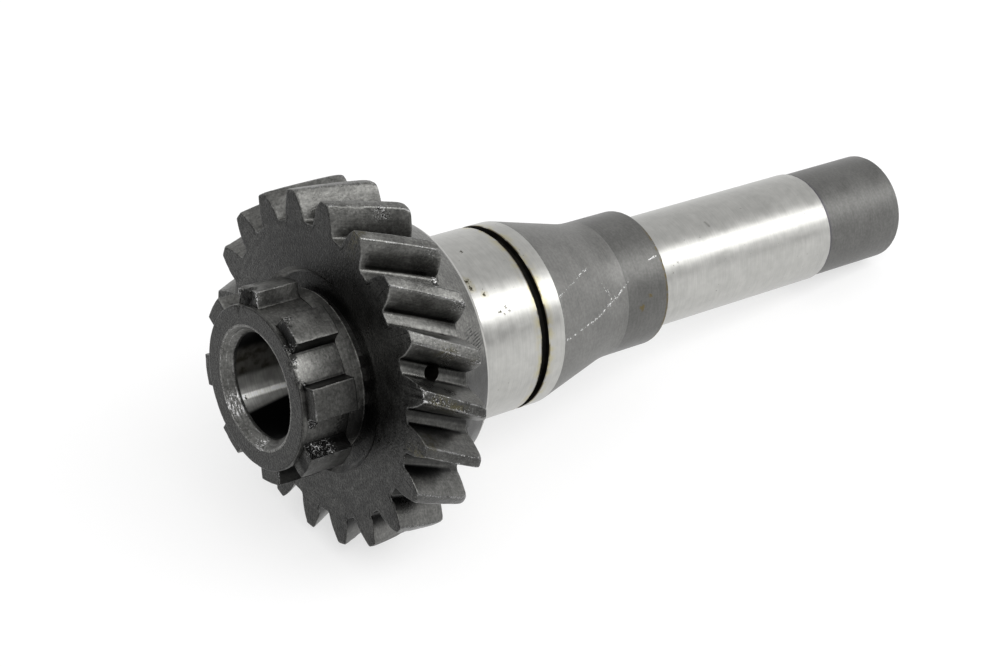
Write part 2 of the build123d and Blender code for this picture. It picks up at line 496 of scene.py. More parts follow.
def add_bore(skin, phase):
    point_depth = BORE_RADIUS / tan(radians(BORE_POINT / 2))
    corners = [
        (BORE_DEPTH + point_depth * (1 - POINT_CAP), BORE_RADIUS * POINT_CAP),
        (BORE_DEPTH, BORE_RADIUS), (BORE_START, BORE_RADIUS),
    ]
    add_turned(skin, corners, SHAFT_COLUMNS, phase, "bore", step=4.0)
    corners = [
        (MOUTH_END, BORE_RADIUS), (LEAD_END, BORE_RADIUS, LEAD_EDGE),
        (LEAD_DEPTH, LEAD_STEP_RADIUS, FINE_EDGE), (0.0, LEAD_RADIUS, FINE_EDGE),
        (0.0, HUB_FACE_RINGS[0]),
    ]
    add_turned(skin, corners, SHAFT_COLUMNS, phase, "mouth", step=0.5, wear=0.75)
    skin.cap(BORE_DEPTH + point_depth, "bore", closing=False)


def add_hub(skin, phase):
    corners = [(0.0, HUB_FACE_RINGS[1]), (0.0, HUB_RADIUS, HUB_EDGE), (DOGS_FRONT, HUB_RADIUS)]
    add_turned(skin, corners, HUB_COLUMNS, phase, "hub", step=0.9, wear=0.3)

    outline = Outline(*half_dog(), DOG_COUNT, radians(DOG_PHASE))
    radii = np.linalg.norm(outline.points, axis=1)
    weight = np.clip((radii - DOG_FLOOR) / 0.4, 0.0, 1.0)
    inner = outline.points - (outline.normals.T * 2 * DOG_EDGE * weight).T
    for share in (0.3, 0.65, 1.0):
        points = circle(HUB_RADIUS, HUB_COLUMNS, phase) * (1 - share) + inner * share
        skin.ring(DOGS_FRONT, points, "hub")
    add_end(skin, DOGS_FRONT, 1, outline, outline, DOG_EDGE, DOG_EDGE, "hub", 0.6, weight)
    for station in np.linspace(DOGS_FRONT + 2 * DOG_EDGE, DOGS_REAR - 2 * DOG_EDGE, DOG_RINGS):
        skin.ring(station, outline.points, "hub", outline.wear)
    add_end(skin, DOGS_REAR, -1, outline, outline, DOG_EDGE, DOG_EDGE, "hub", 0.4, weight)
    skin.ring(DOGS_REAR, inner, "hub")
    corners = [
        (DOGS_REAR, HUB_RADIUS), (GEAR_FRONT, HUB_RADIUS, NECK_EDGE),
        (GEAR_FRONT, UNDERCUT_RADIUS + 0.1),
    ]
    add_turned(skin, corners, HUB_COLUMNS, phase, "hub", wear=1.5)
    corners = [
        (GEAR_FRONT, UNDERCUT_RADIUS), (GEAR_FRONT + RECESS_DEPTH, UNDERCUT_RADIUS),
        (GEAR_FRONT + RECESS_DEPTH, RECESS_RADIUS - RECESS_DEPTH, RECESS_CORNER),
        (GEAR_FRONT, RECESS_RADIUS), (GEAR_FRONT, RECESS_RINGS[0]),
        (GEAR_FRONT, RECESS_RINGS[1]),
    ]
    add_turned(skin, corners, HUB_COLUMNS, phase, "gear", wear=0.3)


def add_gear(skin, phase):
    """Adds the gear, and returns the angle of its last ring's first point."""
    start = GEAR_PHASE - HALF_PITCH
    roll = round((phase - start) / (2 * pi) * GEAR_COLUMNS)
    forms = (
        (TIP_RADIUS - FRONT_TIP_DROP, FRONT_CORNER),
        (TIP_RADIUS, TOOTH_EDGE),
        (TIP_RADIUS - REAR_TIP_DROP, REAR_CORNER),
    )
    front, outline, rear = (
        Outline(*half_tooth(*form), TOOTH_COUNT, GEAR_PHASE, roll) for form in forms
    )
    phase = start + roll * 2 * pi / GEAR_COLUMNS
    for radius in GEAR_FACE_RINGS:
        skin.ring(GEAR_FRONT, circle(radius, GEAR_COLUMNS, phase), "gear")
    for inset in (4 * TOOTH_EDGE, 2 * TOOTH_EDGE):
        skin.ring(GEAR_FRONT, front.points - front.normals * inset, "gear")
    add_end(skin, GEAR_FRONT, 1, outline, front, FRONT_REACH, TOOTH_EDGE, "gear", 0.55)
    for station in np.linspace(GEAR_FRONT + FRONT_REACH, GEAR_REAR - REAR_REACH, GEAR_RINGS)[1:-1]:
        skin.ring(station, outline.points, "gear", outline.wear)
    add_end(skin, GEAR_REAR, -1, outline, rear, REAR_REACH, TOOTH_EDGE, "gear", 0.3)
    skin.ring(GEAR_REAR, rear.points - rear.normals * 2 * TOOTH_EDGE, "gear")
    cone_start, cone_radius = CONE_RINGS[0]
    turn = phase + TWIST - twist_at(cone_start)
    skin.ring(cone_start, circle(cone_radius, GEAR_COLUMNS, turn), "cone")
    return phase + TWIST


def shaft_zone(station):
    limits = (
        (SEAT_START - 0.2, "cone"),
        (GROOVE_FRONT - 0.02, "ground"),
        (GROOVE_REAR + 0.01, "groove"),
        (TAPER_FRONT + 0.02, "ground"),
        (TAPER_REAR + 3.0, "taper"),
        (COLLAR_REAR - 0.02, "collar"),
        (JOURNAL_REAR, "ground"),
    )
    for limit, name in limits:
        if station <= limit:
            return name
    return "tail"


def add_shaft(skin, phase):
    corners = [
        CONE_RINGS[1], (SHOULDER, SHOULDER_RADIUS, SHOULDER_EDGE),
        (SHOULDER, SHOULDER_RINGS[0]),
    ]
    add_turned(skin, corners, HUB_COLUMNS, phase, "cone", wear=0.4)
    relief_top = SEAT_RADIUS + RELIEF_HEIGHT
    corners = [
        (SHOULDER, SHOULDER_RINGS[1]), (SHOULDER, relief_top),
        (SHOULDER - RELIEF_DEPTH, relief_top - RELIEF_DEPTH),
        (SHOULDER - RELIEF_DEPTH, RELIEF_RADIUS), (RELIEF_END, RELIEF_RADIUS),
        (SEAT_START, SEAT_RADIUS, FINE_EDGE), (GROOVE_FRONT, SEAT_RADIUS, GROOVE_EDGE),
        (GROOVE_FRONT, GROOVE_RADIUS, GROOVE_EDGE), (GROOVE_REAR, GROOVE_RADIUS, GROOVE_EDGE),
        (GROOVE_REAR, SEAT_RADIUS, GROOVE_EDGE), (TAPER_FRONT, SEAT_RADIUS, FINE_EDGE),
        (TAPER_REAR, COLLAR_RADIUS, TAPER_BLEND), (COLLAR_REAR, COLLAR_RADIUS, COLLAR_EDGE),
        (COLLAR_REAR, JOURNAL_RADIUS, FINE_EDGE), (JOURNAL_REAR, JOURNAL_RADIUS, FINE_EDGE),
        (JOURNAL_REAR + 0.01, TAIL_RADIUS), (SHAFT_END - TAIL_CHAMFER, TAIL_RADIUS, TAIL_EDGE),
        (SHAFT_END, TAIL_RADIUS - TAIL_CHAMFER, TAIL_EDGE), (SHAFT_END, 1.0),
    ]
    add_turned(skin, corners, SHAFT_COLUMNS, phase, shaft_zone, wear=0.5)
    skin.cap(SHAFT_END, "tail", closing=True)


def to_frame(places):
    """Points given as (station, up, side) in millimetres, moved into the frame, in metres."""
    return np.array(HUB) + places @ np.array((AXIS, UP, SIDE)) * MM


def outward(angle):
    """The direction away from the axis at an angle around it."""
    return UP * cos(angle) + SIDE * sin(angle)


def spot_place(station, angle, radius):
    return np.array((station, *polar(radius, radians(angle))))


def share_near(places, spot):
    """How far each place belongs to a flaw: 1 about its middle, and 0 beyond its reach."""
    distance = np.linalg.norm(places - spot_place(*spot[:3]), axis=1)
    return np.clip(1.6 * (1 - distance / spot[3]), 0.0, 1.0)


def shares_near(places, spots):
    return np.max([share_near(places, spot) for spot in spots], axis=0)


def nicks(places, wear):
    """How deep the blows and wear on each edge go, in millimetres."""
    depths = np.zeros(len(places))
    for index in np.flatnonzero(wear > 0.05):
        spot = Vector(places[index])
        broad = noise.noise(spot * 0.55 + Vector((7.1, 0.0, 0.0)))
        fine = noise.noise(spot * 1.7)
        depth = 0.05 * max(0.0, broad + 0.3) + 0.25 * max(0.0, broad - 0.3)
        depth += 0.5 * max(0.0, fine - 0.3)
        depths[index] = depth * wear[index]
    for chip in CHIPS:
        shares = share_near(places, chip)
        for index in np.flatnonzero(shares > 0.0):
            ragged = 0.6 + 1.3 * noise.noise(Vector(places[index]) * 1.9)
            depths[index] += chip[4] * ragged * shares[index]
    return depths


def new_mesh(name, places, faces, materials, zones):
    """A mesh whose faces have the finishes that their zones name."""
    mesh = bpy.data.meshes.new(name)
    mesh.from_pydata(places, [], faces)
    for material in materials.values():
        mesh.materials.append(material)
    order = {name: index for index, name in enumerate(materials)}
    indices = np.array([order[zone] for zone in zones], np.int32)
    mesh.polygons.foreach_set("material_index", indices)
    mesh.update()
    return mesh


def add_piece(name, data):
    piece = bpy.data.objects.new(name, data)
    bpy.context.scene.collection.objects.link(piece)
    return piece


def shaft_mesh(materials):
    """The whole shaft's mesh, with its flaws and the values that its finishes follow."""
    phase = radians(DOG_PHASE) - pi / DOG_COUNT
    skin = Skin()
    add_bore(skin, phase)
    add_hub(skin, phase)
    rear_phase = add_gear(skin, phase)
    add_shaft(skin, rear_phase - TWIST)
    places = np.concatenate(skin.places)
    wear = np.concatenate(skin.wear)
    smooth_places = to_frame(places)
    mesh = new_mesh("machined_shaft", smooth_places.tolist(), skin.faces, materials, skin.zones)

    normals = np.zeros(len(places) * 3, np.float32)
    mesh.vertex_normals.foreach_get("vector", normals)
    moved = smooth_places - normals.reshape(-1, 3) * nicks(places, wear)[:, None] * MM
    mesh.vertices.foreach_set("co", moved.astype(np.float32).ravel())
    radii = np.hypot(places[:, 1], places[:, 2])
    on_land = (radii > TIP_RADIUS - 0.5) * 0.25
    # wear is above 0 on worn convex edges, and below 0 in concave feet, which the finishes paint
    # darker as dirt and as painted shade
    layers = {
        "wear": wear,
        "darkened": shares_near(places, DARK_SPOTS),
        "pitted": np.maximum(on_land, shares_near(places, PITTED_SPOTS)),
        "oil": shares_near(places, OIL_SPOTS),
    }
    for name, values in layers.items():
        layer = mesh.attributes.new(name, "FLOAT", "POINT")
        layer.data.foreach_set("value", values.astype(np.float32))
    mesh.update()
    return mesh


def drill_oil_hole(shaft, materials):
    """Drills the oil hole from a tooth gap into the pilot bore."""
    angle = GEAR_PHASE + HALF_PITCH * (2 * OIL_HOLE_GAP + 1) - pi
    angle += twist_at(GEAR_FRONT + OIL_HOLE_INSET)
    away = outward(angle)
    across = away.cross(AXIS)
    middle = HUB + AXIS * (GEAR_FRONT + OIL_HOLE_INSET) * MM
    ends, faces, count = [], [], OIL_HOLE_COLUMNS
    for height in (BORE_RADIUS / 2, TIP_RADIUS + 3.0):
        for turn in np.arange(count) * 2 * pi / count:
            lean = AXIS * cos(turn) + across * sin(turn)
            ends.append(middle + (away * height + lean * OIL_HOLE_RADIUS) * MM)
    for index in range(count):
        after = (index + 1) % count
        faces.append((index, after, after + count, index + count))
    faces += [tuple(range(count))[::-1], tuple(range(count, 2 * count))]
    mesh = new_mesh("oil_hole", ends, faces, materials, ["groove"] * len(faces))
    cutter = add_piece("oil_hole", mesh)
    cut = shaft.modifiers.new("oil_hole", "BOOLEAN")
    cut.operation = "DIFFERENCE"
    cut.solver = "MANIFOLD"
    cut.object = cutter
    graph = bpy.context.evaluated_depsgraph_get()
    drilled = bpy.data.meshes.new_from_object(
        shaft.evaluated_get(graph), preserve_all_data_layers=True, depsgraph=graph
    )
    shaft.modifiers.clear()
    shaft.data = drilled
    bpy.data.objects.remove(cutter)


class Nodes:
    """A node tree, laid down one node after another."""

    def __init__(self, tree):
        self.tree = tree

    def put(self, value, socket):
        """Links a value to an input, or sets it there where it is the same all over."""
        if isinstance(value, bpy.types.NodeSocket):
            self.tree.links.new(value, socket)
        else:
            socket.default_value = value

    def add(self, kind, values=(), output=0, **settings):
        """Adds a node with these input values, and returns one of its outputs."""
        node = self.tree.nodes.new("ShaderNode" + kind)
        for name, value in settings.items():
            setattr(node, name, value)
        for socket, value in values.items() if isinstance(values, dict) else enumerate(values):
            self.put(value, node.inputs[socket])
        return node.outputs[output]

    def math(self, operation, *values):
        return self.add("Math", values, operation=operation)

    def plus(self, first, second):
        return self.math("ADD", first, second)

    def times(self, first, *others):
        for other in others:
            first = self.math("MULTIPLY", first, other)
        return first


class Finish(Nodes):
    """A steel finish, whose colour and roughness follow places on the shaft, in millimetres."""

    def __init__(self, name, metallic=1.0, anisotropy=0.0):
        self.material = bpy.data.materials.new(name)
        self.material.use_nodes = True
        super().__init__(self.material.node_tree)
        self.tools = self.smooth, self.spread, self.times, self.mix
        self.shader = self.tree.nodes["Principled BSDF"]
        self.set("Metallic", metallic)
        self.place = self.scaled(self.add("TexCoord", output="Object"), 1 / MM)
        self.normal = self.add("NewGeometry", output="Normal")
        self.axial = self.plus(self.dot(self.place, AXIS), SEAT_MIDDLE)
        self.up = self.dot(self.place, UP)
        self.side = self.dot(self.place, SIDE)
        self.angle = self.math("ARCTAN2", self.side, self.up)
        self.swirl = self.vector("CROSS_PRODUCT", AXIS, self.place)
        self.radius = self.vector("LENGTH", self.swirl)
        if anisotropy:
            self.set("Anisotropic", anisotropy)
            self.set("Tangent", self.vector("CROSS_PRODUCT", self.normal, self.swirl))

    def set(self, name, value):
        self.put(value, self.shader.inputs[name])

    def vector(self, operation, first, second=(0.0, 0.0, 0.0), **more):
        output = "Value" if operation in ("DOT_PRODUCT", "LENGTH", "DISTANCE") else "Vector"
        return self.add("VectorMath", {0: first, 1: second, **more}, output, operation=operation)

    def dot(self, first, second):
        return self.vector("DOT_PRODUCT", first, second)

    def scaled(self, vector, factor):
        return self.vector("SCALE", vector, Scale=factor)

    def value(self, name):
        return self.add("Attribute", output="Fac", attribute_name=name)

    def smooth(self, value, low, high, start=0.0, end=1.0):
        """Runs smoothly from start to end while the value goes from low to high."""
        values = (value, low, high, start, end)
        return self.add("MapRange", values, interpolation_type="SMOOTHSTEP")

    def spread(self, noise, start, end):
        """Runs from start to end over the values that a noise mostly has."""
        return self.smooth(noise, 0.3, 0.7, start, end)

    def around(self, low, high, start=0.0, end=1.0):
        """Runs smoothly from start to end between two angles around the axis."""
        return self.smooth(self.angle, radians(low), radians(high), start, end)

    def towards(self, angle):
        """1 on the line at an angle around the axis, and less on either side of it."""
        lean = self.dot(self.place, outward(radians(angle)))
        return self.math("DIVIDE", lean, self.radius)

    def noise(self, scale, detail=2.0, place=None, shift=0.0):
        place = place or self.place
        if shift:
            place = self.vector("ADD", place, (shift, shift, shift))
        return self.add("TexNoise", {"Vector": place, "Scale": scale, "Detail": detail})

    def turning(self, along, around):
        """Noise in lines that run around the axis: fine along the skin, long around it."""
        place = (
            self.times(self.math("SUBTRACT", self.axial, self.radius), along),
            self.times(self.math("DIVIDE", self.up, self.radius), around),
            self.times(self.math("DIVIDE", self.side, self.radius), around),
        )
        return self.noise(1.0, 3.0, self.add("CombineXYZ", place))

    def mix(self, colour, *marks):
        """A colour with others laid over it, each as thickly as its share."""
        for share, mark in marks:
            colour = self.add("Mix", {0: share, 6: colour, 7: mark}, 2, data_type="RGBA")
        return colour

    def varied(self, tone, change):
        """A tone that is raised or lowered by a share of itself."""
        return self.times(tone, self.plus(1.0, change))

    def toned(self, tone, *shades):
        """A tone multiplied by each shade's factor where the shade's share is 1."""
        for share, factor in shades:
            tone = self.times(tone, self.smooth(share, 0.0, 1.0, 1.0, factor))
        return tone

    def specks(self, spots, radius, spread=1.0):
        """1 in the middle of each (station, angle, size) speck, and 0 outside them all."""
        wander = self.add("TexNoise", {"Vector": self.place, "Scale": 2.2, "Detail": 3.0}, "Color")
        wander = self.scaled(self.vector("SUBTRACT", wander, (0.5, 0.5, 0.5)), 1.8)
        bent = self.vector("ADD", self.place, wander)
        total = None
        for station, angle, size in spots:
            middle = to_frame(spot_place(station, angle, radius)) / MM
            distance = self.vector("DISTANCE", bent, tuple(middle))
            share = self.smooth(distance, size * spread, size * spread * 0.4)
            total = share if total is None else self.math("MAXIMUM", total, share)
        return total

    def distance_to(self, scratch):
        """Distance from a scratch's line, whose points are (station, angle)."""
        here = self.add("CombineXYZ", (self.axial, self.times(self.angle, MARK_RADIUS)))
        nearest = None
        for (start, start_angle), (end, end_angle) in zip(scratch, scratch[1:]):
            first = Vector((start, radians(start_angle) * MARK_RADIUS, 0.0))
            span = Vector((end, radians(end_angle) * MARK_RADIUS, 0.0)) - first
            offset = self.vector("SUBTRACT", here, first)
            share = self.dot(offset, span / span.length_squared)
            foot = self.scaled(span, self.add("Clamp", (share,)))
            gap = self.vector("DISTANCE", offset, foot)
            nearest = gap if nearest is None else self.math("MINIMUM", nearest, gap)
        return nearest

    def relief(self, height, depth):
        """Raises the surface by a height of 0 to 1, for a depth in millimetres."""
        bump = {"Height": height, "Distance": depth * MM, "Strength": 1.0}
        self.set("Normal", self.add("Bump", bump))

    def finish(self, colour, roughness):
        self.set("Base Color", colour)
        self.set("Roughness", roughness)
        return self.material


def grey(tone):
    return (tone, tone, tone, 1.0)


DARK_TINT = (1.0, 0.995, 0.945)
BRIGHT_TINT = (1.0, 0.995, 0.955)
BLACK_TINT = (1.0, 0.9, 0.75)
OIL_BROWN = (0.1, 0.085, 0.04, 1.0)
OLIVE = (0.055, 0.055, 0.035, 1.0)
OIL_FILM = (0.42, 0.37, 0.17, 1.0)
OLD_OIL = (0.07, 0.05, 0.02, 1.0)
RUST = (0.12, 0.09, 0.03, 1.0)
STAIN = (0.05, 0.045, 0.03, 1.0)
BORE_SHADE = (0.03, 0.027, 0.02, 1.0)
QUENCH_BLUE = (0.07, 0.06, 0.085, 1.0)


def gear_shade(steel, tone, on_face):
    """Paler lands, painted lighter up top and darker low down as painted light and shade, streaked
    flanks whose feet are painted black as shade, gap floors painted dark as shade beside the tooth
    above and low down, and a front face painted darker towards the hub as shade."""
    smooth, times, around = steel.smooth, steel.times, steel.around
    off_face = steel.math("SUBTRACT", 1.0, on_face)

    # Streaks and floors follow the teeth, which turn as they run along the axis
    untwist = {"Vector": steel.place, "Axis": AXIS, "Angle": times(steel.axial, -TWIST_RATE)}
    straight = steel.add("VectorRotate", untwist)
    along = steel.scaled(AXIS, times(steel.axial, 0.93))
    streaks = steel.noise(2.0, 3.0, steel.vector("SUBTRACT", straight, along))
    turn = steel.math("SUBTRACT", steel.angle, times(steel.axial, TWIST_RATE))
    turn = steel.plus(turn, TWIST_RATE * GEAR_FRONT - GEAR_PHASE)
    in_pitch = steel.math("FRACT", times(turn, 0.5 / HALF_PITCH))

    on_land = smooth(steel.radius, TIP_RADIUS - 0.35, TIP_RADIUS - 0.1)
    # Lands are paler, and are painted lighter on the upper side and darker low down, as painted light
    # and shade
    land_light_and_shade = times(around(20.0, 50.0, 1.3, 1.0), around(60.0, 74.0, 1.0, 0.48))
    # Feet of the flanks that face down painted black as shade, blacker still low down
    near_foot = smooth(steel.radius, ROOT_RADIUS + 3.6, ROOT_RADIUS + 0.4)
    foot = times(near_foot, smooth(steel.sideways, 0.45, 0.85), off_face, around(14.0, 36.0))
    # Gap floors painted dark as shade beside the tooth above, and low down
    on_floor = times(smooth(steel.radius, ROOT_RADIUS + 1.4, ROOT_RADIUS + 0.5), off_face)
    shade_under_tooth = times(on_floor, smooth(in_pitch, 0.56, 0.42), around(38.0, 54.0))
    low_floor_shade = times(on_floor, around(64.0, 76.0))
    # Feet of the flanks that face up, low down, painted dark as shade
    upper_foot_shade = times(
        smooth(steel.radius, ROOT_RADIUS + 4.4, ROOT_RADIUS + 0.9),
        smooth(steel.sideways, -0.2, -0.6),
        around(68.0, 80.0),
        smooth(steel.axial, 27.0, 18.0, 0.3, 1.0),
        off_face,
    )
    # The front face painted darker as shade towards the hub, most of all close round it near the top
    inwards = smooth(steel.radius, 34.0, 23.0, 0.5, 1.0)
    face_shade = times(around(-90.0, -10.0), around(75.0, 15.0), inwards, on_face)
    by_recess = smooth(steel.radius, 26.0, 20.5)
    recess_shade = times(around(-40.0, -12.0), around(32.0, 14.0), by_recess)
    marks = steel.spread(steel.turning(0.9, 7.0), -0.3, 0.3)

    tone = steel.varied(tone, times(steel.spread(streaks, -0.12, 0.14), off_face))
    tone = steel.varied(tone, times(marks, on_face))
    return steel.toned(
        tone,
        (on_land, land_light_and_shade),
        (foot, around(70.0, 95.0, 0.3, 0.08)),
        (shade_under_tooth, 0.3),
        (low_floor_shade, 0.5),
        (upper_foot_shade, 0.08),
        (recess_shade, 0.4),
        (face_shade, 0.4),
    )


def hub_shade(steel, tone, on_face, grain):
    """Dogs whose sides are painted dark as shade below the top and lighter as painted light near it,
    tops and other surfaces painted darker low down as shade, a paler neck whose rear rim is painted
    as a bright line of wear and painted highlight, and a painted highlight, with scuffing, at the
    front end of one gap floor."""
    smooth, times, around = steel.smooth, steel.times, steel.around
    # Dogs' sides below the top painted dark as shade
    shaded_side = times(smooth(steel.math("ABSOLUTE", steel.sideways), 0.5, 0.85), around(2.0, 12.0))
    # The neck's rear rim painted as a bright line: wear and painted highlight
    neck_rim = smooth(steel.axial, GEAR_FRONT - 0.55, GEAR_FRONT - 0.3)
    return steel.toned(
        tone,
        (shaded_side, 0.25),
        # Dogs' sides that face one way, from the top round to the back, painted lighter as painted
        # light
        (times(smooth(steel.sideways, 0.5, 0.85), around(3.0, -3.0)), 1.45),
        # Painted highlight, with scuffing, at the front end of one gap floor
        (steel.specks((BRIGHT_FLOOR,), DOG_FLOOR), 1.5),
        # Dogs' tops painted darker low down as shade
        (times(around(52.0, 62.0), smooth(steel.radius, 19.4, 20.0)), 0.78),
        (times(neck_rim, smooth(grain, 0.3, 0.6, 0.5, 1.0)), 3.2),
        # Painted shade low down, away from the faces
        (steel.math("SUBTRACT", 1.0, on_face), around(60.0, 76.0, 1.0, 0.72)),
        (smooth(steel.axial, DOGS_REAR - 0.1, DOGS_REAR + 0.1), 1.75),
        (times(smooth(steel.axial, 0.5, 0.25), smooth(steel.radius, 16.5, 16.8)), 0.55),
    )


def dark_steel(name, side_tone, face_tone, worn_tone, roughness, lines_depth=0.12):
    """Case-hardened steel: dark grey sides, blackish end faces (partly oxide, partly painted shade
    for the shadowed floor they reflect), feet painted dark as dirt and shade, darkened spots, worn
    edges and oil.
    """
    steel = Finish(name, metallic=0.9)
    smooth, spread, times, mix = steel.tools
    wear, pitted = steel.value("wear"), steel.value("pitted")
    cloud = steel.noise(0.2, 4.0)
    grain = steel.noise(2.2, 4.0)
    fine = steel.noise(5.0)
    lines = steel.turning(2.6, 5.0)
    speckle = smooth(steel.noise(2.9, shift=17.0), 0.32, 0.68, -1.0, 1.0)
    sideways = steel.dot(steel.normal, steel.swirl)
    steel.sideways = steel.math("DIVIDE", sideways, steel.radius)
    facing = steel.math("ABSOLUTE", steel.dot(steel.normal, AXIS))
    on_face = smooth(facing, 0.8, 0.96)
    # The dark spots' share, where the steel is painted darker and rougher
    darkened = smooth(steel.plus(steel.value("darkened"), spread(grain, -0.25, 0.25)), 0.1, 0.9)
    # Concave feet painted darker, as dirt and as painted shade, less so on the upper side
    foot = times(smooth(wear, -0.1, -0.95), steel.around(4.0, 20.0, 0.3, 1.0))
    # End faces take a far darker tone than the sides: partly oxide, partly painted shade for the
    # shadowed floor that they reflect
    tone = times(
        smooth(on_face, 0.0, 1.0, side_tone, face_tone),
        spread(cloud, 0.76, 1.26),
        spread(grain, 0.84, 1.18),
        smooth(lines, 0.32, 0.68, 1 - lines_depth, 1 + lines_depth),
        spread(steel.noise(1.2, 5.0, shift=3.0), 0.82, 1.18),
    )
    tone = steel.varied(tone, times(speckle, smooth(on_face, 0.0, 1.0, 0.08, 0.6)))
    tone = steel.toned(tone, (darkened, 0.15), (foot, 0.3))
    if name == "gear":
        tone = gear_shade(steel, tone, on_face)
    if name == "hub":
        tone = hub_shade(steel, tone, on_face, grain)
    colour = steel.scaled(DARK_TINT, tone)

    oily = times(steel.value("oil"), smooth(steel.noise(1.1, 4.0), 0.4, 0.58), 0.85)
    marks = [(oily, mix(OLIVE, (smooth(fine, 0.35, 0.65), OIL_BROWN)))]
    uneven = steel.plus(wear, spread(steel.noise(0.45, 4.0, shift=9.0), -0.6, 0.1))
    polished = times(smooth(uneven, 0.25, 0.95), smooth(grain, 0.35, 0.65, 0.3, 1.0))
    if name == "mouth":
        # Scuffs on the mouth, painted bright as scuffing and as a painted highlight
        scuffs = steel.specks(MOUTH_SCUFFS, LEAD_STEP_RADIUS)
        polished = times(polished, smooth(scuffs, 0.0, 1.0, 0.25, 1.0))
        rings = smooth(steel.turning(3.4, 9.0), 0.48, 0.6)
        rings = times(rings, scuffs, smooth(grain, 0.4, 0.55))
        polished = steel.math("MAXIMUM", polished, rings)
    marks.append((polished, grey(worn_tone)))
    if name in BURRS:
        spots, radius, least_wear, burr_tone = BURRS[name]
        burrs = times(steel.specks(spots, radius), smooth(wear, least_wear, 0.4))
        marks.append((times(burrs, smooth(speckle, -0.5, 0.3)), grey(burr_tone)))
    holes = steel.plus(steel.noise(2.4, 4.0, shift=4.0), times(pitted, 0.09))
    holes = times(smooth(holes, 0.6, 0.69), smooth(pitted, 0.05, 0.9, 0.3, 1.0))
    worn = steel.math("MAXIMUM", pitted, smooth(wear, 0.3, 0.8, 0.0, 0.6))
    flecks = steel.plus(steel.noise(3.4, shift=31.0), times(worn, 0.09))
    flecks = times(smooth(flecks, 0.64, 0.72), smooth(worn, 0.1, 0.5), 0.7)
    marks += [(holes, grey(0.015)), (flecks, grey(0.5))]
    colour = mix(colour, *marks)

    rough = steel.plus(spread(cloud, roughness - 0.06, roughness + 0.08), times(darkened, 0.1))
    height = steel.plus(times(lines, 0.25), steel.plus(grain, times(fine, 0.3)))
    height = times(height, smooth(on_face, 0.0, 1.0, 1.0, 2.4))
    steel.relief(steel.math("SUBTRACT", height, times(holes, 0.8)), 0.035)
    return steel, colour, rough


def cone_steel():
    """The cone behind the gear: dark steel with a patch of slanting tool marks, painted darker
    low down as shade, and a ground rim and shoulder."""
    steel, colour, rough = dark_steel("cone", 0.15, 0.13, 0.3, 0.42, 0.16)
    smooth, spread, times, mix = steel.tools
    slant = steel.plus(times(steel.axial, 2.2), times(steel.angle, 279.0))
    stripes = steel.math("SINE", slant)
    patch = times(steel.specks((TOOL_MARKS,), 28.2), smooth(steel.noise(0.6), 0.35, 0.55))
    ground = spread(steel.turning(3.0, 2.0), 0.43, 0.55)
    ground = times(ground, smooth(steel.axial, SHOULDER - 0.3, SHOULDER - 0.05, 1.0, 0.5))
    rim = smooth(steel.axial, SHOULDER - 1.05, SHOULDER - 0.85, 0.0, 0.9)
    colour = mix(
        colour,
        (times(smooth(stripes, -0.4, 0.7), patch), grey(0.03)),
        # Painted shade low down on the cone
        (steel.around(62.0, 74.0, 0.0, 0.85), grey(0.045)),
        (rim, steel.scaled(BRIGHT_TINT, ground)),
    )
    return steel.finish(colour, rough)


def ground_steel():
    """Bright ground steel: very fine lines around the axis, oil by the groove, small stains."""
    steel = Finish("ground_steel", anisotropy=0.5)
    smooth, spread, times, mix = steel.tools
    lines = steel.turning(3.5, 2.0)
    cloud = steel.noise(0.11, 4.0)
    blotch = steel.noise(0.5, 3.0)
    tone = times(spread(cloud, 0.43, 0.48), spread(lines, 0.955, 1.045), spread(blotch, 0.94, 1.05))
    colour = steel.scaled(BRIGHT_TINT, tone)
    groove_middle = (GROOVE_FRONT + GROOVE_REAR) / 2
    from_groove = steel.math("ABSOLUTE", steel.math("SUBTRACT", steel.axial, groove_middle))
    film = times(smooth(from_groove, 3.2, 1.0), smooth(blotch, 0.38, 0.6), 0.6)
    halos = times(steel.specks(SEAT_SPECKS[:3], SEAT_RADIUS, 2.2), 0.3)
    rim = times(smooth(from_groove, 1.4, 1.0), smooth(steel.noise(0.3, 3.0), 0.35, 0.55), 0.85)
    colour = mix(colour, (steel.math("MAXIMUM", film, halos), OIL_FILM), (rim, OLD_OIL))
    stains = (
        steel.specks(SEAT_SPECKS, SEAT_RADIUS),
        times(steel.specks(JOURNAL_SPECKS, JOURNAL_RADIUS), 0.5),
        times(smooth(steel.distance_to(JOURNAL_SCRATCH), 0.5, 0.1), 0.35),
        times(smooth(steel.noise(1.7, 1.0), 0.77, 0.79), 0.5),
    )
    colour = mix(colour, *((share, STAIN) for share in stains))
    rough = steel.plus(spread(cloud, 0.3, 0.36), spread(blotch, -0.02, 0.03))
    steel.relief(steel.plus(steel.noise(0.25), times(lines, 0.02)), 0.02)
    return steel.finish(colour, rough)


